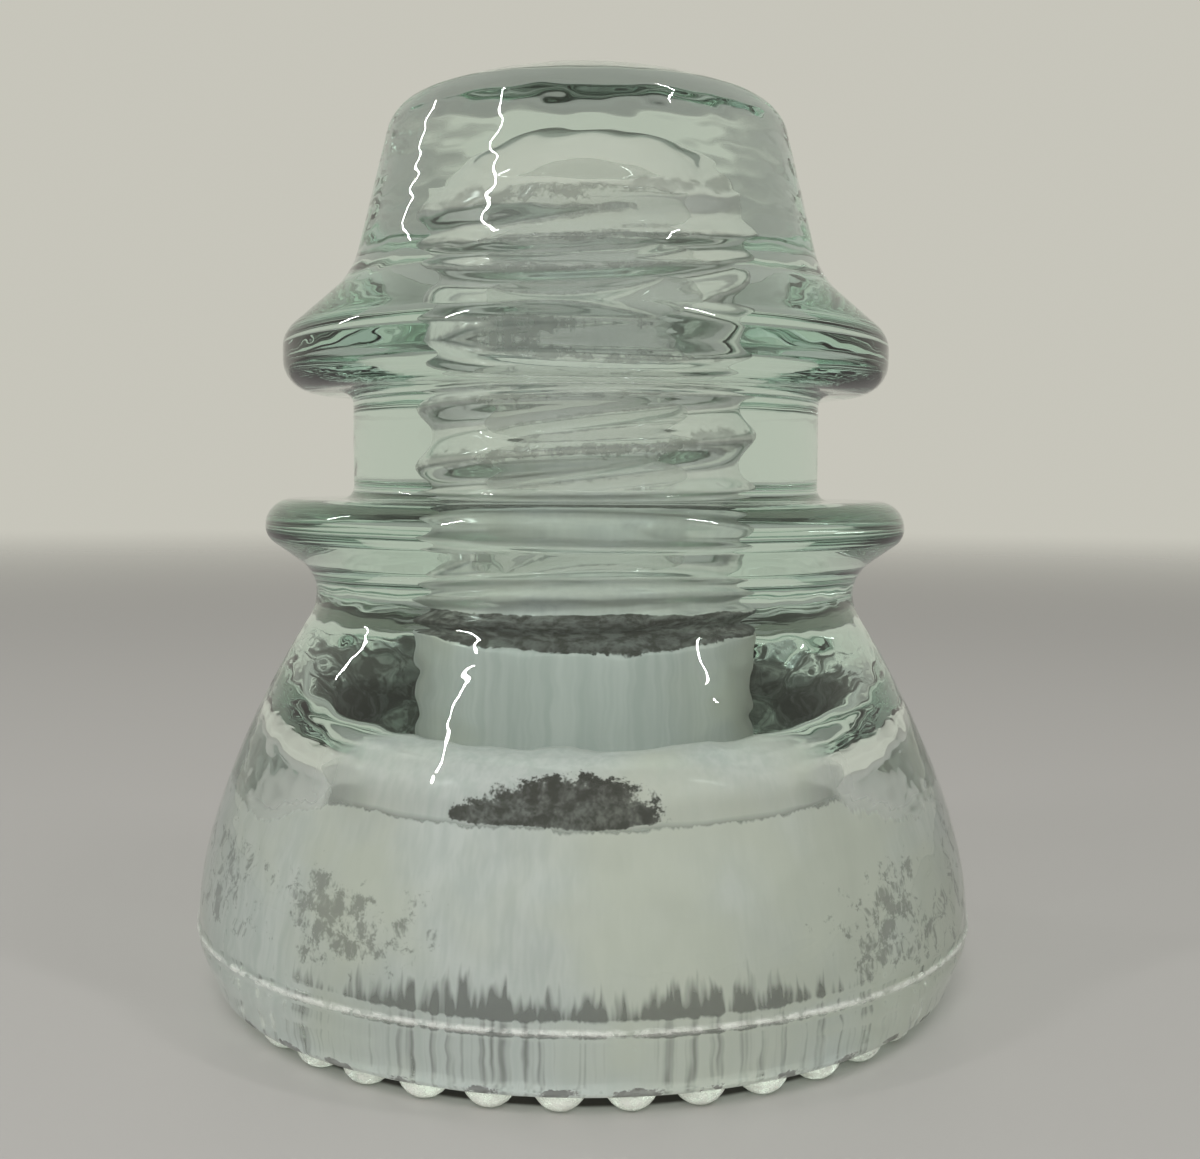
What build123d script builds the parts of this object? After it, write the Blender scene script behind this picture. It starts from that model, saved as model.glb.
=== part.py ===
from build123d import *
import math
import os

# Pin-type line insulator, pressed in glass in one piece, with a double petticoat.
# Millimetres, +Z up, origin at the middle of the circle that the drip beads stand on.
# Heights stack from the beads up to the crown: 101.6 mm (4 in) tall on an 86.1 mm base.

INCH = 25.4

# Foot of the outer skirt
FOOT_R = 42.85
FOOT_HEEL_Z = 7.6
HEEL_ROUND = 4.0
JOINT_RIDGE = 0.2
JOINT_HALF = 0.45
JOINT_Z = 9.3

# Rim and the ring of drip beads under it
BEAD_COUNT = 36
BEAD_R = 2.65
BEAD_SETBACK = 5.85
BEAD_SINK = 0.3
BEAD_TURN_DEG = -3.2
RIM_LAND_IN = 1.3
RIM_LAND_OUT = 1.1
RIM_ROUND = 1.2

# Bell of the outer skirt, up to the neck
NECK_R = 30.0
NECK_Z = 44.6
NECK_ROUND = 5.0
BELL_LEAN_DEG = 32.0
BELL_FOOT_PULL = 9.7
BELL_NECK_PULL = 10.5

# Lower lip
LIP_ROOT_RISE = 2.33
LIP_ROOT_ROUND = 4.0
LOW_LIP_OUT = 5.4
LOW_LIP_UNDER_RISE = 3.86
LOW_LIP_EDGE = 4.06
LOW_LIP_UNDER_ROUND = 1.9
LOW_LIP_TOP_ROUND = 2.9

# Groove for the line wire
GROOVE_R = 25.9
GROOVE_WIDTH = 11.55
GROOVE_ROUND = 1.3

# Upper lip
UP_LIP_OUT = 7.5
UP_LIP_EDGE = 6.2
UP_LIP_SLOPE_RISE = 6.55
UP_LIP_UNDER_ROUND = 3.4
UP_LIP_TOP_ROUND = 3.0

# Crown
CROWN_FOOT_R = 26.0
CROWN_FOOT_ROUND = 8.0
CROWN_SHOULDER_R = 21.6
CROWN_SHOULDER_ROUND = 9.0
CROWN_RISE = 22.45
DOME_R = 51.5

# Pinhole: a long plain mouth, then the rounded thread for a 1 in pin, four turns to
# the inch and narrowing a little as it rises, under a domed end.
THREAD_PITCH = INCH / 4
THREAD_TAPER = 1 / 96
THREAD_CREST_R = 11.75
THREAD_DEPTH = 1.25
THREAD_ROOT_ROUND = 2.2
THREAD_STOP = 6.0
MOUTH_STEP = 1.35
MOUTH_DEPTH = 22.6
MOUTH_ROUND = 1.6
THROAT_RISE = 1.4
CROWN_WALL = 9.6
HOLE_TOP_ROUND = 9.3

# Inner petticoat round the pinhole, and the dry space between it and the skirt
PETTICOAT_Z = 13.0
PETTICOAT_WALL = 6.5
PETTICOAT_DRAFT = 0.7
PETTICOAT_ROUND = 2.3
GAP_TOP_WIDTH = 10.6
GAP_TOP_BELOW_NECK = 20.6
GAP_LEAN_DEG = 14.0
GAP_RIM_PULL = 6.0
GAP_TOP_PULL = 7.0
RIM_INNER_RISE = 2.65

# Heights that follow from the sizes above
LIP_ROOT_Z = NECK_Z + LIP_ROOT_RISE
LOW_LIP_KNEE_Z = LIP_ROOT_Z + LOW_LIP_UNDER_RISE
LOW_LIP_TOP_Z = LOW_LIP_KNEE_Z + LOW_LIP_EDGE
UP_LIP_UNDER_Z = LOW_LIP_TOP_Z + GROOVE_WIDTH
UP_LIP_TOP_Z = UP_LIP_UNDER_Z + UP_LIP_EDGE
CROWN_FOOT_Z = UP_LIP_TOP_Z + UP_LIP_SLOPE_RISE
HEIGHT = CROWN_FOOT_Z + CROWN_RISE
HOLE_TOP_Z = HEIGHT - CROWN_WALL
MOUTH_TOP_Z = PETTICOAT_Z + MOUTH_DEPTH
THREAD_START_Z = MOUTH_TOP_Z + THROAT_RISE / 2
THREAD_END_Z = HOLE_TOP_Z - THREAD_STOP
GAP_TOP_Z = NECK_Z - GAP_TOP_BELOW_NECK

# Radii that follow from the sizes above
BEAD_RING_R = FOOT_R - BEAD_SETBACK
RIM_Z = BEAD_R - BEAD_SINK
RIM_OUT_R = BEAD_RING_R + BEAD_R + RIM_LAND_OUT
RIM_IN_R = BEAD_RING_R - BEAD_R - RIM_LAND_IN
MOUTH_R = THREAD_CREST_R + MOUTH_STEP
PETTICOAT_R = MOUTH_R + PETTICOAT_WALL
GAP_IN_R = PETTICOAT_R - PETTICOAT_DRAFT
GAP_OUT_R = GAP_IN_R + GAP_TOP_WIDTH
LOW_LIP_R = NECK_R + LOW_LIP_OUT
UP_LIP_R = GROOVE_R + UP_LIP_OUT


def crest_r(z):
    """Radius of the thread's crest at a height: the pinhole narrows upwards."""
    return THREAD_CREST_R - (z - THREAD_START_Z) * THREAD_TAPER


def at(corner):
    """A point of the section, given as (radius, height)."""
    return Vector(corner[0], 0, corner[1])


def lean(deg):
    """Direction of a wall that leans in towards the axis as it rises."""
    return -math.sin(math.radians(deg)), math.cos(math.radians(deg))


def pulled(corner, way, length):
    return corner[0] + way[0] * length, corner[1] + way[1] * length


def round_corner(face, corner, radius):
    """Rounds one corner of the section, no further than its two edges allow."""
    vertex = min(face.vertices(), key=lambda v: (Vector(*v) - at(corner)).length)
    sides = [e for e in face.edges() if any((Vector(*v) - Vector(*vertex)).length < 1e-6
                                            for v in e.vertices())]
    far = []
    for side in sides:
        ends = sorted((side @ 0, side @ 1), key=lambda p: (p - Vector(*vertex)).length)
        far.append((ends[1] - ends[0]).normalized())
    turn = math.pi - far[0].get_angle(far[1]) * math.pi / 180
    room = 0.96 * min(side.length for side in sides) / math.tan(turn / 2)
    return face.fillet_2d(min(radius, room), [vertex])


def section():
    """Half of the insulator's section, in the XZ plane, closed along the axis."""
    rim_in, rim_out = (RIM_IN_R, RIM_Z), (RIM_OUT_R, RIM_Z)
    heel = (FOOT_R, FOOT_HEEL_Z)
    joint_foot = (FOOT_R, JOINT_Z - JOINT_HALF)
    joint_ridge = (FOOT_R + JOINT_RIDGE, JOINT_Z)
    joint_top = (FOOT_R, JOINT_Z + JOINT_HALF)
    bell_way = lean(BELL_LEAN_DEG)
    bell_end = (NECK_R + NECK_ROUND * (1 - bell_way[1]), NECK_Z + NECK_ROUND * bell_way[0])
    half_way = lean(BELL_LEAN_DEG / 2)
    neck_mid = (NECK_R + NECK_ROUND * (1 - half_way[1]), NECK_Z + NECK_ROUND * half_way[0])
    neck = (NECK_R, NECK_Z)
    lip_root = (NECK_R, LIP_ROOT_Z)
    low_lip_knee, low_lip_top = (LOW_LIP_R, LOW_LIP_KNEE_Z), (LOW_LIP_R, LOW_LIP_TOP_Z)
    groove_foot, groove_top = (GROOVE_R, LOW_LIP_TOP_Z), (GROOVE_R, UP_LIP_UNDER_Z)
    up_lip_under, up_lip_top = (UP_LIP_R, UP_LIP_UNDER_Z), (UP_LIP_R, UP_LIP_TOP_Z)
    crown_foot = (CROWN_FOOT_R, CROWN_FOOT_Z)

    def dome(r):
        return r, HEIGHT - DOME_R + math.sqrt(DOME_R**2 - r**2)

    shoulder = dome(CROWN_SHOULDER_R)
    hole_end = (crest_r(HOLE_TOP_Z), HOLE_TOP_Z)
    throat = (crest_r(MOUTH_TOP_Z + THROAT_RISE), MOUTH_TOP_Z + THROAT_RISE)
    mouth_top, mouth = (MOUTH_R, MOUTH_TOP_Z), (MOUTH_R, PETTICOAT_Z)
    petticoat = (PETTICOAT_R, PETTICOAT_Z)
    gap_in, gap_out = (GAP_IN_R, GAP_TOP_Z), (GAP_OUT_R, GAP_TOP_Z)
    gap_top = ((GAP_IN_R + GAP_OUT_R) / 2, GAP_TOP_Z + GAP_TOP_WIDTH / 2)
    rim_wall = (RIM_IN_R, RIM_Z + RIM_INNER_RISE)

    def straight(*corners):
        return Polyline(*[at(c) for c in corners]).edges()

    def arc(*corners):
        return ThreePointArc(*[at(c) for c in corners]).edge()

    def curve(*corners):
        return Bezier(*[at(c) for c in corners]).edge()

    face = Face(Wire([
        *straight(rim_in, rim_out, heel, joint_foot),
        arc(joint_foot, joint_ridge, joint_top),
        curve(joint_top, pulled(joint_top, (0, 1), BELL_FOOT_PULL),
              pulled(bell_end, bell_way, -BELL_NECK_PULL), bell_end),
        arc(bell_end, neck_mid, neck),
        *straight(neck, lip_root, low_lip_knee, low_lip_top, groove_foot, groove_top,
                  up_lip_under, up_lip_top, crown_foot, shoulder),
        arc(shoulder, dome(CROWN_SHOULDER_R / 2), dome(0)),
        *straight(dome(0), (0, HOLE_TOP_Z), hole_end, throat, mouth_top, mouth,
                  petticoat, gap_in),
        arc(gap_in, gap_top, gap_out),
        curve(gap_out, pulled(gap_out, lean(GAP_LEAN_DEG), -GAP_TOP_PULL),
              pulled(rim_wall, (0, 1), GAP_RIM_PULL), rim_wall),
        *straight(rim_wall, rim_in),
    ]))
    for corner, radius in (
        (rim_in, RIM_ROUND), (rim_out, RIM_ROUND), (heel, HEEL_ROUND),
        (lip_root, LIP_ROOT_ROUND), (low_lip_knee, LOW_LIP_UNDER_ROUND),
        (low_lip_top, LOW_LIP_TOP_ROUND), (groove_foot, GROOVE_ROUND),
        (groove_top, GROOVE_ROUND), (up_lip_under, UP_LIP_UNDER_ROUND),
        (up_lip_top, UP_LIP_TOP_ROUND), (crown_foot, CROWN_FOOT_ROUND),
        (shoulder, CROWN_SHOULDER_ROUND), (hole_end, HOLE_TOP_ROUND),
        (petticoat, PETTICOAT_ROUND), (mouth, MOUTH_ROUND),
    ):
        face = round_corner(face, corner, radius)
    return face


def beads():
    """Drip beads, each a ball sunk into the rim, standing on z = 0."""
    step = 360 / BEAD_COUNT
    spots = [Rot(0, 0, -90 + BEAD_TURN_DEG + step * k) for k in range(BEAD_COUNT)]
    return [spot * Pos(BEAD_RING_R, 0, BEAD_R) * Sphere(BEAD_R) for spot in spots]


def thread_groove():
    """Rounded thread that the pin screws into, cut along a tapered helix."""
    path = Helix(
        pitch=THREAD_PITCH,
        height=THREAD_END_Z - THREAD_START_Z,
        radius=THREAD_CREST_R + THREAD_DEPTH - THREAD_ROOT_ROUND,
        center=(0, 0, THREAD_START_Z),
        cone_angle=-math.degrees(math.atan(THREAD_TAPER)),
    )
    tool = Plane(path @ 0, z_dir=path % 0) * Circle(THREAD_ROOT_ROUND)
    return sweep(tool, path=path, is_frenet=True)


def glass_insulator():
    body = revolve(section(), axis=Axis.Z)
    body = body - thread_groove() + beads()
    return max(body.solids(), key=lambda s: s.volume)


if __name__ == "__main__":
    os.makedirs("parts", exist_ok=True)
    export_step(glass_insulator(), "parts/glass_insulator.step")
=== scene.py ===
import math
from types import SimpleNamespace

import bmesh
import bpy
from bpy.props import FloatProperty, FloatVectorProperty, IntProperty, PointerProperty
from mathutils import Matrix, Vector, noise
from mathutils.geometry import interpolate_bezier


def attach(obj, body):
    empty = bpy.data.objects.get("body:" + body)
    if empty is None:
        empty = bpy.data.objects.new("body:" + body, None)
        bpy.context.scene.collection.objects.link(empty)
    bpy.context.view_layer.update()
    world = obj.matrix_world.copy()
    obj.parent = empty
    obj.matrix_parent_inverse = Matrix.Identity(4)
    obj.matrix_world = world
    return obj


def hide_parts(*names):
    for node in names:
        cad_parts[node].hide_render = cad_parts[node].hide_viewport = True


bl_info = {
    "name": "Pressed glass pin insulator",
    "version": (1, 0, 0),
    "blender": (4, 5, 0),
    "location": "View3D > Sidebar > Insulator",
    "description": "Builds a double-petticoat glass insulator and the stage it is seen on",
    "category": "Object",
}

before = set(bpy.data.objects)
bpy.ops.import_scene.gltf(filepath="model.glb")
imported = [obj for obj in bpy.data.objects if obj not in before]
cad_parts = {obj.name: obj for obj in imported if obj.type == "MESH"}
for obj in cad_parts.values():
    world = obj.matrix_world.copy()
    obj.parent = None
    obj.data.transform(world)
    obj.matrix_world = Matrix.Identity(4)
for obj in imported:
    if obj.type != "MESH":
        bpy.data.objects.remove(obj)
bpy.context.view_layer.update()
NODE = "glass_insulator"
MM = 0.001
# Vertex attributes: depths of film, of dirt and painted shade, and soft film; then levels of painted
# highlight, ripple and darkness
WEAR_AND_SHADE_DEPTH, WEAR_AND_LIGHT_LEVEL = "wear_and_shade_depth", "wear_and_light_level"

# Limits in mm that tell the skin's zones apart: the room under the skirt, the pinhole, the lips, the
# mould joint, the beads and the creases over them
UNDER_TOP, UNDER_R, UNDER_LEAN = 31.0, 36.4, 0.125
GAP_MIDDLE_R = 24.2
HOLE_LIMIT_R, HOLE_LIMIT_Z = 15.0, 94.0
LIP_LOW_Z, LIP_HIGH_Z = 46.0, 77.5
JOINT_LIMIT_R, JOINT_MIDDLE_Z, JOINT_LIMIT_HALF = 42.95, 9.3, 0.4
BEAD_LIMIT_R, BEAD_LIMIT_Z = 32.8, 2.2
CREASE_LIMIT_R, CREASE_TOP_Z = 35.8, 3.8
# Depths are kept within this many mm. A clean edge counts its own depth several times over
DEEP, EDGE_CLEAN, RING_CLEAN, LINE_CLEAN, CREASE_CLEAN = 4.0, 6.0, 3.0, 2.2, 4.0
# How much film lies on the mouth, the thread's lower and upper turns, the gap's end and the petticoat
MOUTH_FILM, LOW_THREAD_FILM, HIGH_THREAD_FILM, GAP_FILM, PETTICOAT_FILM = 0.88, 0.63, 0.23, 0.85, 0.5
# How strongly the joint and the beads are painted white as a painted highlight, how rippled each side is,
# how dark each dirt and the painted crease shade is, and how much of the glass full dirt and painted shade
# hide
JOINT_HIGHLIGHT, BEAD_HIGHLIGHT = 0.38, 0.85
OUTSIDE_RIPPLE, LIP_RIPPLE, INSIDE_RIPPLE = 1.0, 0.12, 0.08
STAIN_DARK, LOW_DARK, LINE_DARK, CREASE_SHADE, DIRT_AND_SHADE_COVER = 1.0, 0.5, 0.62, 0.8, 0.94

# Roundings of the outside: radius in mm and segments, from the crown down to the neck
OUTSIDE_ROUNDS = {
    "shoulder": (9, 14), "crown_foot": (8, 8), "upper_lip_top": (3, 7), "upper_lip_foot": (3.4, 9),
    "groove_top": (1.3, 5), "groove_foot": (1.3, 5), "lower_lip_top": (2.9, 8), "lower_lip_knee": (1.9, 6),
    "lip_root": (4, 7),
}
HEEL_ROUND, RIM_OUT_ROUND, RIM_IN_ROUND = (4, 5), (1.5, 5), (1.2, 5)
# Roundings of the inside, from the petticoat's foot up to the pinhole's domed end
INSIDE_ROUNDS = {
    "petticoat_foot": (2.3, 6), "mouth_foot": (1.6, 5), "mouth_top": (0.5, 2), "throat": (0.8, 3),
    "hole_end": (9.3, 14),
}
CROWN_STEPS, BELL_STEPS, GAP_WALL_STEPS, GAP_END_STEPS, TURN_STEPS = 12, 36, 20, 10, 168
THREAD_EDGE, WALL_EDGE = 0.52, 1.15
BEAD_AROUND, BEAD_DOWN = 24, 12

# Lamps: azimuth and elevation in degrees, then distance, width and height in metres, and watts
LAMPS = {
    "left_tube": (-107, 29, 1.2, 0.018, 0.25, 1.1),
    "middle_tube": (-54, 39, 1.2, 0.022, 0.36, 1.9),
    "right_tube": (54, 50, 1.2, 0.022, 0.36, 1.9),
    "soft_key": (-4, 36, 1.0, 0.35, 0.35, 9.5),
}


def length(name, text, mm):
    """A length property, written here in millimetres and kept in metres."""
    return FloatProperty(name=name, description=text, default=mm * MM, unit="LENGTH", precision=5)


def tint(name, text, rgb):
    return FloatVectorProperty(name=name, description=text, default=rgb, size=3,
                               subtype="COLOR", min=0, max=1)


class InsulatorOutside(bpy.types.PropertyGroup):
    foot_r: length("Foot radius", "Radius of the skirt's foot", 42.85)
    heel_z: length("Heel height", "Height of the corner over the rim", 7.6)
    joint_z: length("Joint height", "Height of the mould joint line", 9.3)
    joint_ridge: length("Joint ridge", "How far the mould joint stands out", 0.2)
    joint_half: length("Joint half height", "Half of the ridge's foot", 0.45)
    joint_crest: length("Joint crest", "Half of the ridge's flat top", 0.15)
    rim_z: length("Rim height", "Height of the rim over the beads' tips", 2.35)
    rim_out_r: length("Rim outer radius", "Outer edge of the rim", 40.75)
    rim_in_r: length("Rim inner radius", "Inner edge of the rim", 33.05)
    neck_r: length("Neck radius", "Radius of the neck over the bell", 30.0)
    neck_z: length("Neck height", "Height of the narrowest part of the neck", 44.6)
    neck_bend: length("Neck bend", "Radius of the bend from the neck into the bell", 5.0)
    bell_lean: FloatProperty(name="Bell lean", description="Slope where the bell starts",
                             default=math.radians(32), subtype="ANGLE")
    bell_pull_top: length("Bell top pull", "How far the bell keeps its slope at its top", 10.5)
    bell_pull_foot: length("Bell foot pull", "How far the bell stays upright over the joint", 9.7)
    lip_root_z: length("Lip root height", "Where the lower lip leaves the neck", 46.93)
    low_lip_r: length("Lower lip radius", "Radius of the lower lip", 35.4)
    low_knee_z: length("Lower lip underside", "Height where its underside turns up", 50.79)
    low_top_z: length("Lower lip top", "Height of the lower lip's top", 54.85)
    groove_r: length("Groove radius", "Radius of the wire groove's floor", 25.9)
    up_under_z: length("Upper lip underside", "Height of the upper lip's underside", 66.4)
    up_lip_r: length("Upper lip radius", "Radius of the upper lip", 33.4)
    up_top_z: length("Upper lip top", "Height where the upper lip slopes in", 72.6)
    crown_foot_r: length("Crown foot radius", "Radius where the crown starts", 26.0)
    crown_foot_z: length("Crown foot height", "Height where the crown starts", 79.15)
    shoulder_r: length("Shoulder radius", "Radius of the crown's shoulder", 21.6)
    dome_r: length("Dome radius", "Radius of curvature of the crown's top", 51.5)
    top_z: length("Height", "Height of the crown's top", 101.6)


class InsulatorInside(bpy.types.PropertyGroup):
    mouth_r: length("Mouth radius", "Radius of the pinhole's plain mouth", 13.1)
    mouth_top_z: length("Mouth top", "Height where the thread starts", 35.6)
    throat_rise: length("Throat rise", "Height of the slope from mouth to thread", 1.4)
    taper: FloatProperty(name="Taper", description="Radius that the thread loses for each unit of height",
                         default=1 / 96)
    crest_r: length("Thread crest radius", "Crest radius at the thread's start", 11.75)
    depth: length("Thread depth", "Depth of the thread's groove", 1.25)
    pitch: length("Thread pitch", "Four turns to the inch", 6.35)
    thread_start_z: length("Thread start", "Height of the thread's start", 36.3)
    thread_end_z: length("Thread end", "Height of the thread's end", 86.0)
    hole_top_z: length("Hole top", "Height of the pinhole's domed end", 92.0)
    petticoat_z: length("Petticoat rim", "Height of the inner petticoat's rim", 13.0)
    petticoat_r: length("Petticoat radius", "Radius of the inner petticoat's foot", 19.6)
    gap_in_r: length("Gap inner radius", "Inner radius of the gap's closed end", 18.9)
    gap_out_r: length("Gap outer radius", "Outer radius of the gap's closed end", 29.5)
    gap_z: length("Gap height", "Height where the gap's end starts to round", 24.0)
    gap_lean: FloatProperty(name="Gap lean", description="Slope of the gap's outer wall at its end",
                            default=math.radians(14), subtype="ANGLE")
    gap_pull_top: length("Gap top pull", "How far the wall keeps that slope", 7.0)
    gap_pull_rim: length("Gap rim pull", "How far the wall stays upright over the rim", 6.0)
    rim_step: length("Rim step", "Height of the rim's upright inner edge", 2.65)
    bead_r: length("Bead radius", "Radius of a drip bead", 2.65)
    bead_ring_r: length("Bead ring radius", "Radius of the ring of beads", 37.0)
    bead_count: IntProperty(name="Beads", description="Drip beads under the rim", default=36)
    bead_turn: FloatProperty(name="Bead turn", description="Turn of the first bead",
                             default=math.radians(-93.2), subtype="ANGLE")


class InsulatorWear(bpy.types.PropertyGroup):
    film_top_z: length("Film top", "Height where the skirt's film ends", 23.4)
    ring_low_z: length("Bare ring foot", "Lower edge of the ring rubbed bare", 7.4)
    ring_high_z: length("Bare ring top", "Upper edge of the ring rubbed bare", 9.1)
    rim_thin_z: length("Thin film", "Height under which the film is thin", 6.6)
    ring_half: length("Bare ring reach", "How far it reaches to each side", 18.0)
    # Edges of the dark patches low on the skirt's wall
    low_foot_z: length("Low dirt foot", "Lower edge of the dark patches on the wall", 9.5)
    low_top_z: length("Low dirt top", "Upper edge of the dark patches on the wall", 15.5)
    haze_front_y: length("Haze front", "Where the gap's closed end gets hazy", -17.5)
    haze_half: length("Haze reach", "How far that haze reaches to each side", 21.5)
    petticoat_haze_y: length("Petticoat haze", "Where the petticoat gets hazy", -12.0)
    film_fade_z: length("Thread film", "Height where the thread's film gets thin", 54.0)
    lines_low_z: length("Lines foot", "Height where lines of dirt in the thread start", 57.0)
    collar_low_z: length("Collar foot", "Lower edge of the dirt in the thread", 35.9)
    collar_top_z: length("Collar top", "Upper edge of the dirt in the thread", 42.8)
    patch_x: length("Patch middle", "Middle of the dark patch at the front", -2.1)
    patch_half: length("Patch reach", "Half of the patch's width", 8.9)
    patch_tall: length("Patch height", "Height of the patch in the gap's end", 4.6)
    stain_front_y: length("Stain front", "How far the petticoat's stain comes forward", 0.5)
    stain_low_z: length("Stain foot", "Lower edge of the petticoat's stain", 19.2)
    stain_out_r: length("Stain radius", "How far out the stain goes", 21.4)
    back_y: length("Back stain front", "Where the stain across the gap starts", 14.0)
    back_low_z: length("Back stain foot", "Its lower edge", 19.5)
    back_top_z: length("Back stain top", "Its upper edge", 26.0)
    back_in_r: length("Back stain radius", "How far in it goes", 17.0)
    back_half: length("Back stain reach", "How far it goes to each side", 13.4)
    line_half: length("Line half width", "Half of a dirt line in the thread's root", 0.62)
    lines_over: length("Lines over", "How far the lines go past the thread's end", 3.0)


class InsulatorFinish(bpy.types.PropertyGroup):
    clear: tint("Clear glass", "Colour that the glass lets through at its surface", (0.96, 0.975, 0.965))
    depth_tint: tint("Depth tint", "Colour that light takes on inside the glass", (0.585, 0.83, 0.71))
    tint_strength: FloatProperty(name="Tint strength", description="Tint per metre of glass",
                                 default=12.0, min=0)
    dust: tint("Dust", "Dried film inside the skirt", (0.5992, 0.58315, 0.59385))
    dust_dark: tint("Dark dust", "Darker streaks of the film", (0.500, 0.500, 0.505))
    dust_warm: tint("Warm dust", "Warmer clouds in the film", (0.555, 0.535, 0.485))
    # Painted highlight: the mould joint's white line and the beads' bright, lit look are painted in this
    # colour
    painted_highlight: tint("Chalk", "Rubbed mould joint and beads", (0.90, 0.90, 0.84))
    # This dark colour is also the painted shade in the creases over the beads
    grime_and_shade: tint("Grime", "Dark dirt caught in the skirt and the thread", (0.035, 0.032, 0.028))
    shade: tint("Shade", "Lamp light that the glass passes to its shadow", (0.53, 0.56, 0.535))
    ripple: length("Ripple height", "Height of the ripples on the outside", 0.12)
    index: FloatProperty(name="Index", description="How strongly the glass bends light", default=1.5)
    film_rough: FloatProperty(name="Film roughness", description="Roughness of the glass under full film",
                              default=0.13, min=0)


class StageSettings(bpy.types.PropertyGroup):
    floor: tint("Floor", "Colour of the floor", (0.37, 0.36, 0.34))
    # Painted shade: the floor under the skirt is painted this dark, where only shade lies; the glass shows
    # it as a painted dark reflection
    under: tint("Under", "Colour of the floor that only the glass shows", (0.030, 0.024, 0.020))
    room: tint("Room light", "Colour of the light from all sides", (0.80, 0.80, 0.80))
    room_strength: FloatProperty(name="Room strength", description="Strength of that light", default=0.45)
    backdrop: tint("Backdrop", "Colour behind the object", (0.57, 0.56, 0.495))
    camera_distance: length("Camera distance", "From the insulator's axis", 168.09)
    camera_height: length("Camera height", "Over the floor", 57.4)
    camera_pitch: FloatProperty(name="Camera pitch", description="How far it looks down",
                                default=0.0694, subtype="ANGLE")
    camera_yaw: FloatProperty(name="Camera yaw", description="How far it looks right",
                              default=0.0099, subtype="ANGLE")
    camera_roll: FloatProperty(name="Camera roll", description="Turn about its own axis",
                               default=-0.0058, subtype="ANGLE")
    camera_lens: FloatProperty(name="Lens", description="Focal length on a 36 mm sensor",
                               default=44.487, unit="CAMERA")


def clamp(value, low, high):
    return max(low, min(high, value))


def corner_reach(before, corner, after, radius):
    """Distance from a corner to where a fillet of that radius starts."""
    a, b = (before - corner).normalized(), (after - corner).normalized()
    return radius / math.tan(a.angle(b) / 2)


def chain(bm, spots):
    """Joins a run of (radius, height) points by wire edges and returns its vertices."""
    verts = [bm.verts.new((r, 0, z)) for r, z in spots]
    for a, b in zip(verts, verts[1:]):
        bm.edges.new((a, b))
    return verts


def round_off(bm, vert, radius, segments):
    """Rounds the corner at a vertex, by less than its edges where they are short."""
    ends = [e.other_vert(vert).co for e in vert.link_edges]
    reach = corner_reach(ends[0], vert.co, ends[1], radius)
    reach = min([reach] + [0.97 * e.calc_length() for e in vert.link_edges])
    bmesh.ops.bevel(bm, geom=[vert], offset=reach, offset_type="OFFSET", segments=segments,
                    profile=0.5, affect="VERTICES", material=-1)


def even_out(bm, longest):
    """Cuts every wire edge into equal pieces no longer than the given length."""
    for edge in list(bm.edges):
        cuts = math.ceil(edge.calc_length() / longest(edge)) - 1
        if cuts > 0:
            bmesh.ops.subdivide_edges(bm, edges=[edge], cuts=cuts)


def bell(start, start_way, end, end_way, count):
    """Points of a smooth wall between two ends, without the ends."""
    knots = [Vector((r, 0, z)) for r, z in (start, start_way, end_way, end)]
    return [(p.x, p.z) for p in interpolate_bezier(*knots, count)[1:-1]]


def outside_wire(bm, s):
    """Section of the outside, from the crown's top down to the rim's inner edge."""
    def dome(r):
        return r, s.top_z - s.dome_r + math.sqrt(s.dome_r**2 - r**2)

    def bend(a):
        return s.neck_r + s.neck_bend * (1 - math.cos(a)), s.neck_z - s.neck_bend * math.sin(a)

    bell_r, bell_z = bend(s.bell_lean)
    bell_way = (bell_r + s.bell_pull_top * math.sin(s.bell_lean),
                bell_z - s.bell_pull_top * math.cos(s.bell_lean))
    joint_top = (s.foot_r, s.joint_z + s.joint_half)
    foot_way = (s.foot_r, joint_top[1] + s.bell_pull_foot)
    wall = bell((bell_r, bell_z), bell_way, joint_top, foot_way, BELL_STEPS)
    crown = [dome(s.shoulder_r * k / CROWN_STEPS) for k in range(CROWN_STEPS + 1)]
    ridge_r = s.foot_r + s.joint_ridge
    spots = crown + [
        (s.crown_foot_r, s.crown_foot_z), (s.up_lip_r, s.up_top_z), (s.up_lip_r, s.up_under_z),
        (s.groove_r, s.up_under_z), (s.groove_r, s.low_top_z), (s.low_lip_r, s.low_top_z),
        (s.low_lip_r, s.low_knee_z), (s.neck_r, s.lip_root_z), (s.neck_r, s.neck_z),
        *(bend(s.bell_lean * share) for share in (0.25, 0.5, 0.75)), (bell_r, bell_z), *wall, joint_top,
        (ridge_r, s.joint_z + s.joint_crest), (ridge_r, s.joint_z - s.joint_crest),
        (s.foot_r, s.joint_z - s.joint_half), (s.foot_r, s.heel_z),
        (s.rim_out_r, s.rim_z), (s.rim_in_r, s.rim_z),
    ]
    verts = chain(bm, spots)
    for vert, (radius, segments) in zip(verts[CROWN_STEPS:], OUTSIDE_ROUNDS.values()):
        round_off(bm, vert, radius * MM, segments)
    heel, rim_out, rim_in = verts[-3:]
    for vert, (radius, segments) in ((heel, HEEL_ROUND), (rim_out, RIM_OUT_ROUND)):
        round_off(bm, vert, radius * MM, segments)
    return rim_in


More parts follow.
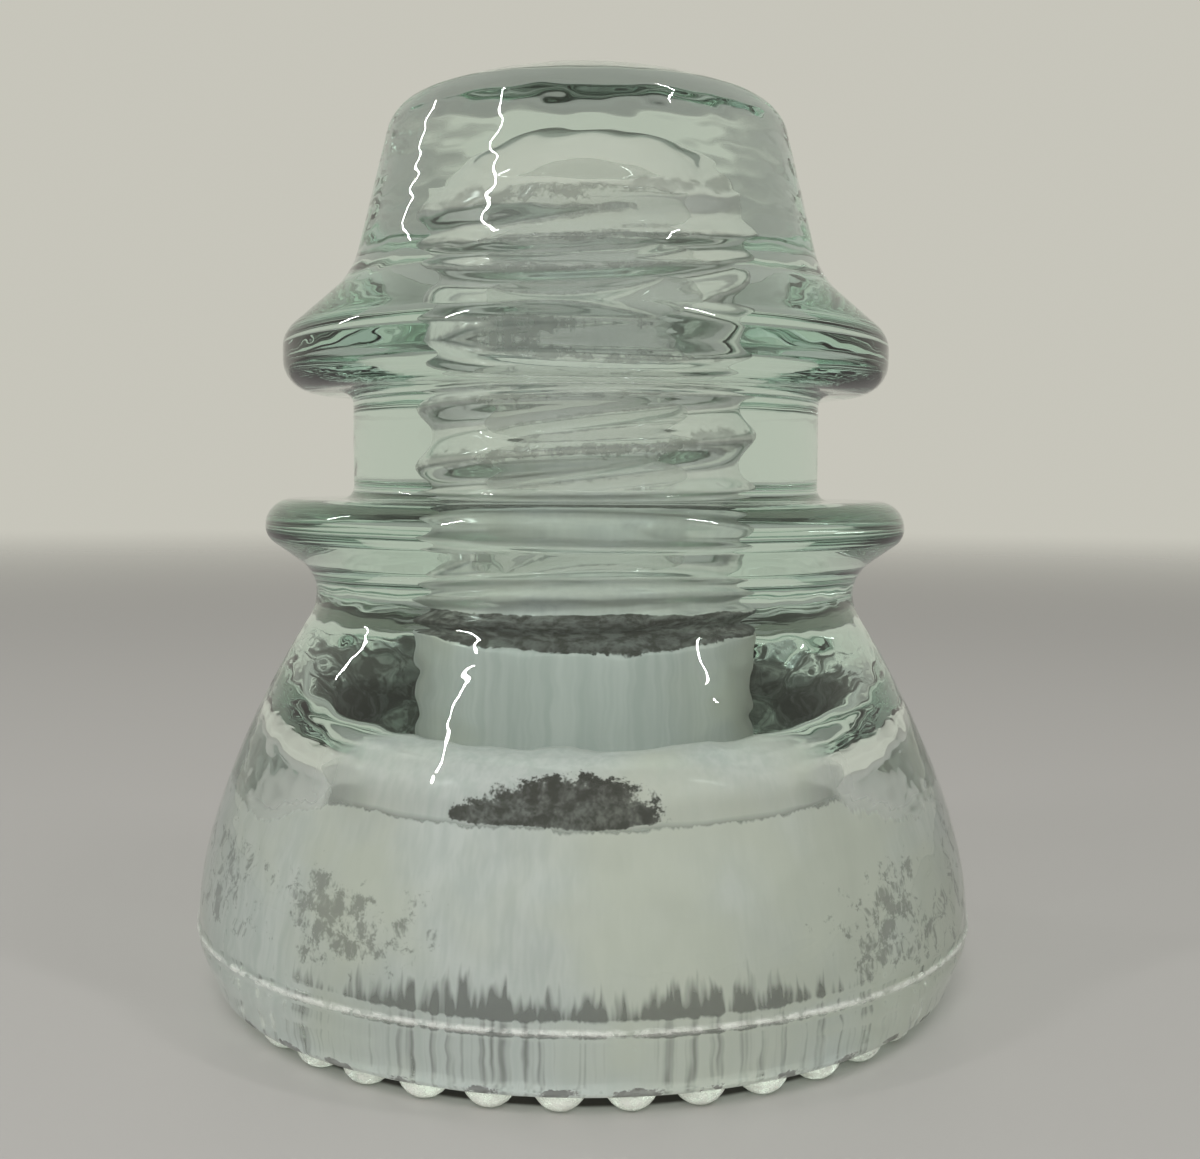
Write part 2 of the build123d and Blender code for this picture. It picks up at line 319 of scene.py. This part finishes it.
def inside_wire(bm, s, rim_in):
    """Section of the inside, from the rim's inner edge up the gap and into the pinhole."""
    hole_r = s.crest_r - (s.hole_top_z - s.thread_start_z) * s.taper
    throat_z = s.mouth_top_z + s.throat_rise
    throat_r = s.crest_r - (throat_z - s.thread_start_z) * s.taper
    rim_wall = (rim_in.co.x, rim_in.co.z + s.rim_step)
    rim_way = (rim_wall[0], rim_wall[1] + s.gap_pull_rim)
    wall_way = (s.gap_out_r + s.gap_pull_top * math.sin(s.gap_lean),
                s.gap_z - s.gap_pull_top * math.cos(s.gap_lean))
    wall = bell(rim_wall, rim_way, (s.gap_out_r, s.gap_z), wall_way, GAP_WALL_STEPS)
    half = (s.gap_out_r - s.gap_in_r) / 2
    middle = s.gap_in_r + half
    end = [(middle + half * math.cos(a), s.gap_z + half * math.sin(a))
           for a in (math.pi * k / GAP_END_STEPS for k in range(1, GAP_END_STEPS))]
    spots = [
        rim_wall, *wall, (s.gap_out_r, s.gap_z), *end, (s.gap_in_r, s.gap_z),
        (s.petticoat_r, s.petticoat_z), (s.mouth_r, s.petticoat_z), (s.mouth_r, s.mouth_top_z),
        (throat_r, throat_z), (hole_r, s.hole_top_z), (0, s.hole_top_z),
    ]
    verts = chain(bm, spots)
    bm.edges.new((rim_in, verts[0]))
    for vert, (radius, segments) in zip(verts[-1 - len(INSIDE_ROUNDS):], INSIDE_ROUNDS.values()):
        round_off(bm, vert, radius * MM, segments)
    radius, segments = RIM_IN_ROUND
    round_off(bm, rim_in, radius * MM, segments)


def zone(r, z):
    """Whether a point of the skin, in mm, is under the skirt, and whether it is in the pinhole."""
    return z < UNDER_TOP and r < UNDER_R - UNDER_LEAN * z, r < HOLE_LIMIT_R and z < HOLE_LIMIT_Z


def cut_thread(bm, s):
    """Presses the pin thread's rounded groove into the pinhole's wall, fading at its ends."""
    fade_in, fade_out = 2.2 * MM, 0.5 * s.pitch
    mouth_slack, start_slack, sharpness = 0.1 * MM, 3 * MM, 1.3
    for v in bm.verts:
        r = math.hypot(v.co.x, v.co.y)
        on_height = s.thread_start_z - start_slack <= v.co.z <= s.hole_top_z - MM
        if r > s.mouth_r + mouth_slack or not on_height:
            continue
        turn = math.atan2(v.co.y, v.co.x) / math.tau
        phase = (v.co.z - s.thread_start_z) / s.pitch - turn
        wave = (0.5 + 0.5 * math.cos(math.tau * phase)) ** sharpness
        fade = clamp((s.thread_end_z - v.co.z) / fade_out, 0, 1)
        fade *= clamp((v.co.z - s.thread_start_z + fade_in) / fade_in, 0, 1)
        wall = s.crest_r - (v.co.z - s.thread_start_z) * s.taper
        push = max(0, wall + s.depth * wave * fade - r) if wave * fade > 0 else 0
        v.co.x += v.co.x / r * push
        v.co.y += v.co.y / r * push


def pressed_waves(bm):
    """Gentle hollows that a pressed wall keeps from its mould, and fine rings on the outside."""
    hollow, hollow_scale = 0.055 * MM, 70
    ring, around, upward = 0.022 * MM, 25, 330
    for v in bm.verts:
        r = math.hypot(v.co.x, v.co.y)
        if r < 2 * MM:
            continue
        push = hollow * noise.noise(v.co * hollow_scale)
        if not any(zone(r / MM, v.co.z / MM)):
            push += ring * noise.noise(Vector((v.co.x * around, v.co.y * around, v.co.z * upward)))
        v.co.x += v.co.x / r * push
        v.co.y += v.co.y / r * push


def new_piece(name, bm):
    mesh = bpy.data.meshes.new(name)
    bm.to_mesh(mesh)
    bm.free()
    piece = bpy.data.objects.new(name, mesh)
    bpy.context.scene.collection.objects.link(piece)
    return piece


def turned_body(outside, inside):
    """The whole insulator without its beads, spun from its section."""
    bm = bmesh.new()
    rim_in = outside_wire(bm, outside)
    inside_wire(bm, inside, rim_in)

    def longest(edge):
        a, b = (v.co for v in edge.verts)
        low, high = min(a.z, b.z), max(a.z, b.z)
        threaded = inside.thread_start_z - MM < low and high < inside.hole_top_z
        return (THREAD_EDGE if threaded and max(a.x, b.x) < inside.mouth_r else WALL_EDGE) * MM

    even_out(bm, longest)
    bmesh.ops.spin(bm, geom=bm.verts[:] + bm.edges[:], cent=(0, 0, 0), axis=(0, 0, 1),
                   angle=math.tau, steps=TURN_STEPS, use_merge=True)
    bmesh.ops.remove_doubles(bm, verts=bm.verts[:], dist=0.002 * MM)
    cut_thread(bm, inside)
    pressed_waves(bm)
    bmesh.ops.recalc_face_normals(bm, faces=bm.faces[:])
    return new_piece("pressed_glass_body", bm)


def drip_beads(inside):
    """One mesh of balls, sunk a little way into the rim."""
    bm = bmesh.new()
    for k in range(inside.bead_count):
        angle = inside.bead_turn + math.tau * k / inside.bead_count
        place = Matrix.Rotation(angle, 4, "Z") @ Matrix.Translation((inside.bead_ring_r, 0, inside.bead_r))
        bmesh.ops.create_uvsphere(bm, u_segments=BEAD_AROUND, v_segments=BEAD_DOWN, radius=inside.bead_r,
                                  matrix=place)
    return new_piece("drip_beads", bm)


def join_beads(body, beads):
    """Fuses the beads into the rim, so that the glass is one closed skin."""
    fuse = body.modifiers.new("Beads", "BOOLEAN")
    fuse.operation = "UNION"
    fuse.solver = "MANIFOLD"
    fuse.object = beads
    depsgraph = bpy.context.evaluated_depsgraph_get()
    mesh = bpy.data.meshes.new_from_object(body.evaluated_get(depsgraph))
    body.modifiers.remove(fuse)
    body.data = mesh
    bpy.data.objects.remove(beads)
    mesh.shade_smooth()
    mesh.set_sharp_from_angle(angle=math.radians(50))
    return body


class Nodes:
    """Short hand for adding and joining nodes in one tree."""

    def __init__(self, tree):
        self.tree = tree

    def add(self, kind, inputs=None, **settings):
        node = self.tree.nodes.new(kind)
        for key, value in settings.items():
            setattr(node, key, value)
        for key, value in (inputs or {}).items():
            if isinstance(value, bpy.types.NodeSocket):
                self.tree.links.new(value, node.inputs[key])
            else:
                node.inputs[key].default_value = value
        return node

    def math(self, operation, a, b=0.0, c=0.0):
        return self.add("ShaderNodeMath", {0: a, 1: b, 2: c}, operation=operation).outputs[0]

    def between(self, value, low, high, to_low=0.0, to_high=1.0):
        return self.add("ShaderNodeMapRange", {0: value, 1: low, 2: high, 3: to_low, 4: to_high},
                        interpolation_type="SMOOTHSTEP").outputs[0]

    def noise(self, vector, scale, detail, rough):
        return self.add("ShaderNodeTexNoise", {"Vector": vector, "Scale": scale, "Detail": detail,
                                               "Roughness": rough}).outputs["Fac"]

    def stretch(self, vector, scale):
        return self.add("ShaderNodeMapping", {"Vector": vector, "Scale": scale}).outputs[0]

    def blend(self, share, a, b):
        mix = self.add("ShaderNodeMix", data_type="RGBA")
        for key, value in ((0, share), (6, a), (7, b)):
            if isinstance(value, bpy.types.NodeSocket):
                self.tree.links.new(value, mix.inputs[key])
            else:
                mix.inputs[key].default_value = value if key == 0 else (*value, 1)
        return mix.outputs[2]


def fresh_material(name):
    material = bpy.data.materials.new(name)
    material.use_nodes = True
    material.node_tree.nodes.clear()
    return material, Nodes(material.node_tree)


def millimetres(group):
    """The sizes of a property group as plain numbers in millimetres."""
    return SimpleNamespace(**{key: getattr(group, key) / MM for key in group.__annotations__})


def wear_and_light_on_skin(mesh, inside, w):
    """Writes on each vertex how deep it lies inside the film and inside the dirt and painted shade (mm,
    negative outside) and how much soft film it carries; and then how strong its painted highlight is, how
    rippled it is and how dark its dirt and painted shade are."""
    depths, levels = [], []
    for v in mesh.vertices:
        x, y, z = (c / MM for c in v.co)
        r = math.hypot(x, y)
        below, in_hole = zone(r, z)
        film, soft, painted_highlight, ripple = -DEEP, 0.0, 0.0, OUTSIDE_RIPPLE
        dirt_and_shade = [(-DEEP, STAIN_DARK)]
        if LIP_LOW_Z < z < LIP_HIGH_Z:
            ripple = LIP_RIPPLE
        if below or in_hole:
            ripple = INSIDE_RIPPLE
        if below and r > GAP_MIDDLE_R:
            film = film_depth(x, y, z, w)
            dirt_and_shade.append((low_dark_depth(x, z, w), LOW_DARK))
        if below and not in_hole:
            dirt_and_shade.append((stain_depth(x, y, z, r, w), STAIN_DARK))
            if z > w.film_top_z:
                dirt_and_shade.append((patch_depth(x, y, z, w), STAIN_DARK))
                soft = GAP_FILM * step_up(w.haze_front_y - y, 3) * step_up(w.haze_half - abs(x), 6)
            elif r < GAP_MIDDLE_R:
                soft = PETTICOAT_FILM * step_up(w.petticoat_haze_y - y, 4)
        if in_hole:
            soft = max(soft, hole_film(z, w))
            dirt_and_shade.append((collar_depth(z, w), STAIN_DARK))
            dirt_and_shade.append((thread_dirt_depth(x, y, z, inside, w), LINE_DARK))
        # Painted highlight: the mould joint's white line, and the beads painted bright as if lit
        if r > JOINT_LIMIT_R and abs(z - JOINT_MIDDLE_Z) < JOINT_LIMIT_HALF:
            painted_highlight = JOINT_HIGHLIGHT
        elif z < BEAD_LIMIT_Z and r > BEAD_LIMIT_R:
            painted_highlight = BEAD_HIGHLIGHT
        # Painted shade: a dark crease over each bead
        elif r > CREASE_LIMIT_R and z < CREASE_TOP_Z:
            dirt_and_shade.append((crease_shade_depth(x, y, z, inside), CREASE_SHADE))
        depth, dark = max(dirt_and_shade)
        depths += (clamp(film, -DEEP, DEEP), clamp(depth, -DEEP, DEEP), soft)
        levels += (painted_highlight, ripple, dark)
    for name, values in ((WEAR_AND_SHADE_DEPTH, depths), (WEAR_AND_LIGHT_LEVEL, levels)):
        mesh.attributes.new(name, "FLOAT_VECTOR", "POINT").data.foreach_set("vector", values)


def step_up(value, width=0.6):
    """0 under half the width below zero, 1 over half of it above and a straight ramp between, in mm."""
    return clamp(value / width + 0.5, 0.0, 1.0)


def hole_film(z, w):
    """Film in the pinhole: heavy on its mouth, less on the thread's first turns and thin above."""
    threaded, high = step_up(z - w.collar_low_z), step_up(z - w.film_fade_z, 8)
    thread_film = LOW_THREAD_FILM + (HIGH_THREAD_FILM - LOW_THREAD_FILM) * high
    return MOUTH_FILM + (thread_film - MOUTH_FILM) * threaded


def film_depth(x, y, z, w):
    """Dried film on the skirt's wall: a clean upper edge, lower at the sides and the back, and
    a bare ring low on the front. Under the ring the film is thin."""
    side_drop, thin, ring_taper = 0.52, 1.1, 0.35
    top = EDGE_CLEAN * (w.film_top_z - side_drop * clamp(y + 20, 0.0, 8.0) - z)
    if z < w.rim_thin_z:
        return min(top, thin)
    narrow = ring_taper * max(0.0, abs(x) - w.ring_half)
    return min(top, narrow + max(RING_CLEAN * (w.ring_low_z - z), z - w.ring_high_z))


def low_dark_depth(x, z, w):
    """Dark patches low on the wall, away from its middle and mostly on the left."""
    middle, clear, ramp = 3, 13, 16
    sparse, rise, fall = -3.0, 2.7, 0.5
    aside = step_up(abs(x - middle) - clear, ramp)
    return sparse + rise * aside - fall * max(0.0, w.low_foot_z - z, z - w.low_top_z)


def stain_depth(x, y, z, r, w):
    """Dirt on the petticoat's back half, and at the very back across the whole gap."""
    petticoat = min(y - w.stain_front_y, z - w.stain_low_z, w.stain_out_r - r)
    back = min(y - w.back_y, z - w.back_low_z, w.back_top_z - z, w.back_half - abs(x), r - w.back_in_r)
    return max(petticoat, back)


def patch_depth(x, y, z, w):
    """The dark patch in the gap's closed end at the front: a low dome."""
    middle_depth = 5
    if y > 0:
        return -DEEP
    across, up = (x - w.patch_x) / w.patch_half, (z - w.film_top_z) / w.patch_tall
    return middle_depth * (1 - across * across - up * up)


def collar_depth(z, w):
    """Dirt at the thread's first turns, between two clean edges."""
    return EDGE_CLEAN * min(z - w.collar_low_z, w.collar_top_z - z)


def thread_dirt_depth(x, y, z, inside, w):
    """Lines of dirt in the roots of the thread's upper turns."""
    pitch = inside.pitch / MM
    phase = (z - inside.thread_start_z / MM) / pitch - math.atan2(y, x) / math.tau
    away = abs(phase - round(phase)) * pitch
    top = inside.thread_end_z / MM + w.lines_over
    return min(LINE_CLEAN * (w.line_half - away), z - w.lines_low_z, top - z)


def crease_shade_depth(x, y, z, inside):
    """Painted shade: a dark crease over each bead, where shade falls between the bead and the rim."""
    wave, edge = math.cos((math.atan2(y, x) - inside.bead_turn) * inside.bead_count), 0.35
    return min(LINE_CLEAN * (wave - edge), CREASE_CLEAN * (CREASE_TOP_Z - z))


def glass_material(finish):
    """Pale green glass, rippled on its outside, with dried film and dark dirt on its hidden walls, painted
    shade in the creases over the beads and a painted white highlight on the mould joint and the beads.
    """
    material, n = fresh_material("pale_green_pressed_glass")
    spot = n.add("ShaderNodeTexCoord").outputs["Object"]
    depths = n.add("ShaderNodeAttribute", attribute_name=WEAR_AND_SHADE_DEPTH).outputs["Vector"]
    levels = n.add("ShaderNodeAttribute", attribute_name=WEAR_AND_LIGHT_LEVEL).outputs["Vector"]
    film_in, dirt_and_shade_in, soft = n.add("ShaderNodeSeparateXYZ", {0: depths}).outputs
    painted_highlight, rippled, dark = n.add("ShaderNodeSeparateXYZ", {0: levels}).outputs

    grain = n.noise(spot, 620.0, 3.0, 0.8)
    patches = n.noise(spot, 95.0, 2.0, 0.65)
    clouds = n.noise(spot, 38.0, 3.0, 0.6)
    streaks = n.noise(n.stretch(spot, (800, 800, 40)), 1.0, 2.0, 0.75)
    # Edges of film, dirt and painted shade in mm, torn by the noises
    tear, streak_tear = 7.0, 9.0
    torn = n.math("MULTIPLY_ADD", n.math("ADD", grain, patches), tear, -tear)
    # The dirt share, which also holds the painted shade in the creases over the beads
    dirt_and_shade = n.between(n.math("ADD", dirt_and_shade_in, torn), -0.5, 0.6)
    dirt_and_shade = n.math("MULTIPLY", n.math("MULTIPLY", dirt_and_shade, dark), n.between(grain, 0.34, 0.60, 0.80, 1.0))
    streaky = n.math("MULTIPLY_ADD", streaks, streak_tear, -streak_tear / 2)
    film = n.between(n.math("ADD", film_in, streaky), -0.9, 1.3, 0.30, 1.0)
    film = n.math("MULTIPLY", film, n.between(film_in, -DEEP, -DEEP + 1))
    film = n.math("MULTIPLY", film, n.between(patches, 0.25, 0.60, 0.84, 0.93))
    # Share of the painted highlight on the joint and the beads
    highlight_share = n.math("MULTIPLY", painted_highlight, n.between(grain, 0.30, 0.62))
    dirt_and_shade_cover = n.math("MULTIPLY", dirt_and_shade, DIRT_AND_SHADE_COVER)
    share = n.math("MAXIMUM", n.math("MAXIMUM", film, soft), n.math("MAXIMUM", highlight_share, dirt_and_shade_cover))

    dust = n.blend(n.between(streaks, 0.28, 0.72), finish.dust, finish.dust_dark)
    dust = n.blend(n.between(clouds, 0.40, 0.62, 0.0, 0.85), dust, finish.dust_warm)
    # Painted highlight: the joint and the beads take the chalk colour, painted white as if lit
    dust = n.blend(n.math("GREATER_THAN", painted_highlight, 0.01), dust, finish.painted_highlight)
    # Dirt and the painted shade in the creases over the beads take the grime colour
    colour = n.blend(dirt_and_shade, dust, finish.grime_and_shade)

    # Ripples on the outside only: the plunger left the inside smooth
    ripples = n.noise(n.stretch(spot, (300, 300, 560)), 1.0, 0.0, 0.5)
    bump = n.add("ShaderNodeBump", {"Height": ripples, "Strength": rippled, "Distance": finish.ripple})
    glass = n.add("ShaderNodeBsdfPrincipled", {
        "Base Color": (*finish.clear, 1), "Metallic": 0.0, "IOR": finish.index, "Transmission Weight": 1.0,
        "Roughness": n.math("MULTIPLY", share, finish.film_rough), "Normal": bump.outputs[0],
    })
    dried = n.add("ShaderNodeBsdfPrincipled", {"Base Color": colour, "Roughness": 0.75})
    body = n.add("ShaderNodeMixShader", {0: share, 1: glass.outputs[0], 2: dried.outputs[0]})
    # Lamps shine through the glass instead of leaving a black shadow under it
    path = n.add("ShaderNodeLightPath")
    see_through = n.add("ShaderNodeBsdfTransparent", {"Color": (*finish.shade, 1)})
    surface = n.add("ShaderNodeMixShader", {0: path.outputs["Is Shadow Ray"],
                                            1: body.outputs[0], 2: see_through.outputs[0]})
    volume = n.add("ShaderNodeVolumeAbsorption", {"Color": (*finish.depth_tint, 1),
                                                  "Density": finish.tint_strength})
    n.add("ShaderNodeOutputMaterial", {"Surface": surface.outputs[0], "Volume": volume.outputs[0]})
    return material


class OBJECT_OT_pressed_glass(bpy.types.Operator):
    """Builds the insulator: one pressed piece with its thread and drip beads"""
    bl_idname = "insulator.pressed_glass"
    bl_label = "Pressed glass"

    def execute(self, context):
        scene = context.scene
        body = turned_body(scene.insulator_outside, scene.insulator_inside)
        piece = join_beads(body, drip_beads(scene.insulator_inside))
        piece.data.materials.clear()
        piece.data.materials.append(glass_material(scene.insulator_finish))
        wear_and_light_on_skin(piece.data, scene.insulator_inside, millimetres(scene.insulator_wear))
        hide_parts(NODE)
        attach(piece, "root")
        return {"FINISHED"}


def strip_lamp(name, azimuth, elevation, distance, width, tall, watts, aim):
    """A lamp that faces the insulator. Azimuth 0 is the viewer's side, positive to the right."""
    a, e = math.radians(azimuth), math.radians(elevation)
    away = Vector((math.sin(a) * math.cos(e), -math.cos(a) * math.cos(e), math.sin(e)))
    light = bpy.data.lights.new(name, "AREA")
    light.shape = "RECTANGLE"
    light.size, light.size_y = width, tall
    light.energy = watts
    lamp = bpy.data.objects.new(name, light)
    turn = away.to_track_quat("Z", "Y").to_matrix().to_4x4()
    lamp.matrix_world = Matrix.Translation(aim + away * distance) @ turn
    bpy.context.scene.collection.objects.link(lamp)
    return lamp


def stage_floor(settings):
    reach, fade_start, fade_end = 1.6, 0.35, 1.5
    dark_in_r, dark_out_r = 36.0 * MM, 36.8 * MM
    bm = bmesh.new()
    bmesh.ops.create_circle(bm, cap_ends=True, radius=reach, segments=96)
    floor = new_piece("stage_floor", bm)
    material, n = fresh_material("pale_floor")
    spot = n.add("ShaderNodeTexCoord").outputs["Object"]
    far = n.add("ShaderNodeVectorMath", {0: spot}, operation="LENGTH").outputs["Value"]
    # Painted shade: under the skirt the floor is painted dark, where only shade lies, and the glass shows
    # it as a painted dark reflection
    colour = n.blend(n.between(far, dark_out_r, dark_in_r), settings.floor, settings.under)
    matt = n.add("ShaderNodeBsdfPrincipled", {"Base Color": colour, "Roughness": 0.55})
    gone = n.add("ShaderNodeBsdfTransparent")
    fade = n.between(far, fade_start, fade_end)
    mix = n.add("ShaderNodeMixShader", {0: fade, 1: matt.outputs[0], 2: gone.outputs[0]})
    n.add("ShaderNodeOutputMaterial", {"Surface": mix.outputs[0]})
    floor.data.materials.append(material)


def studio_world(settings):
    world = bpy.data.worlds.new("studio")
    bpy.context.scene.world = world
    world.use_nodes = True
    world.node_tree.nodes.clear()
    n = Nodes(world.node_tree)
    path = n.add("ShaderNodeLightPath")
    seen = n.math("MAXIMUM", path.outputs["Is Camera Ray"],
                  n.math("MAXIMUM", path.outputs["Is Glossy Ray"], path.outputs["Is Transmission Ray"]))
    light = n.add("ShaderNodeBackground", {"Color": (*settings.room, 1),
                                           "Strength": settings.room_strength})
    shown = n.add("ShaderNodeBackground", {"Color": (*settings.backdrop, 1), "Strength": 1.0})
    mix = n.add("ShaderNodeMixShader", {0: seen, 1: light.outputs[0], 2: shown.outputs[0]})
    n.add("ShaderNodeOutputWorld", {"Surface": mix.outputs[0]})


def stage_camera(s):
    cy, sy = math.cos(s.camera_yaw), math.sin(s.camera_yaw)
    cp, sp = math.cos(s.camera_pitch), math.sin(s.camera_pitch)
    cr, sr = math.cos(s.camera_roll), math.sin(s.camera_roll)
    ahead = Vector((sy * cp, cy * cp, -sp))
    right, up = Vector((cy, -sy, 0)), Vector((sy * sp, cy * sp, cp))
    right, up = right * cr - up * sr, right * sr + up * cr
    data = bpy.data.cameras.new("photo_camera")
    data.lens, data.sensor_width, data.sensor_fit = s.camera_lens, 36, "HORIZONTAL"
    data.clip_start = 0.01
    camera = bpy.data.objects.new("photo_camera", data)
    turn = Matrix((right, up, -ahead)).transposed().to_4x4()
    camera.matrix_world = Matrix.Translation((0, -s.camera_distance, s.camera_height)) @ turn
    bpy.context.scene.collection.objects.link(camera)
    bpy.context.scene.camera = camera


class OBJECT_OT_insulator_stage(bpy.types.Operator):
    """Builds the pale floor, the lamps, the world and the camera"""
    bl_idname = "insulator.stage"
    bl_label = "Stage"

    def execute(self, context):
        settings = context.scene.insulator_stage
        stage_floor(settings)
        studio_world(settings)
        stage_camera(settings)
        middle = Vector((0, 0, 0.055))
        lamps = {name: strip_lamp(name, *values, middle) for name, values in LAMPS.items()}
        # The soft lamp lights matt surfaces only: its picture isn't in the glass
        lamps["soft_key"].visible_glossy = lamps["soft_key"].visible_transmission = False
        context.scene.view_settings.view_transform = "Standard"
        return {"FINISHED"}


class VIEW3D_PT_insulator(bpy.types.Panel):
    """Sizes, finish and the steps that build the insulator"""
    bl_label = "Glass insulator"
    bl_idname = "VIEW3D_PT_insulator"
    bl_space_type = "VIEW_3D"
    bl_region_type = "UI"
    bl_category = "Insulator"

    def draw(self, context):
        layout = self.layout
        for group in GROUPS:
            box = layout.box()
            settings = getattr(context.scene, group)
            for key in settings.__annotations__:
                box.prop(settings, key)
        for step in STEPS:
            layout.operator(step.bl_idname)


GROUPS = {"insulator_outside": InsulatorOutside, "insulator_inside": InsulatorInside,
          "insulator_wear": InsulatorWear, "insulator_finish": InsulatorFinish,
          "insulator_stage": StageSettings}
STEPS = (OBJECT_OT_pressed_glass, OBJECT_OT_insulator_stage)


def register():
    for cls in (*GROUPS.values(), *STEPS, VIEW3D_PT_insulator):
        bpy.utils.register_class(cls)
    for name, cls in GROUPS.items():
        setattr(bpy.types.Scene, name, PointerProperty(type=cls))


def unregister():
    for name in GROUPS:
        delattr(bpy.types.Scene, name)
    for cls in reversed((*GROUPS.values(), *STEPS, VIEW3D_PT_insulator)):
        bpy.utils.unregister_class(cls)


def main():
    register()
    bpy.ops.insulator.pressed_glass()
    bpy.ops.insulator.stage()


if __name__ == "__main__":
    main()
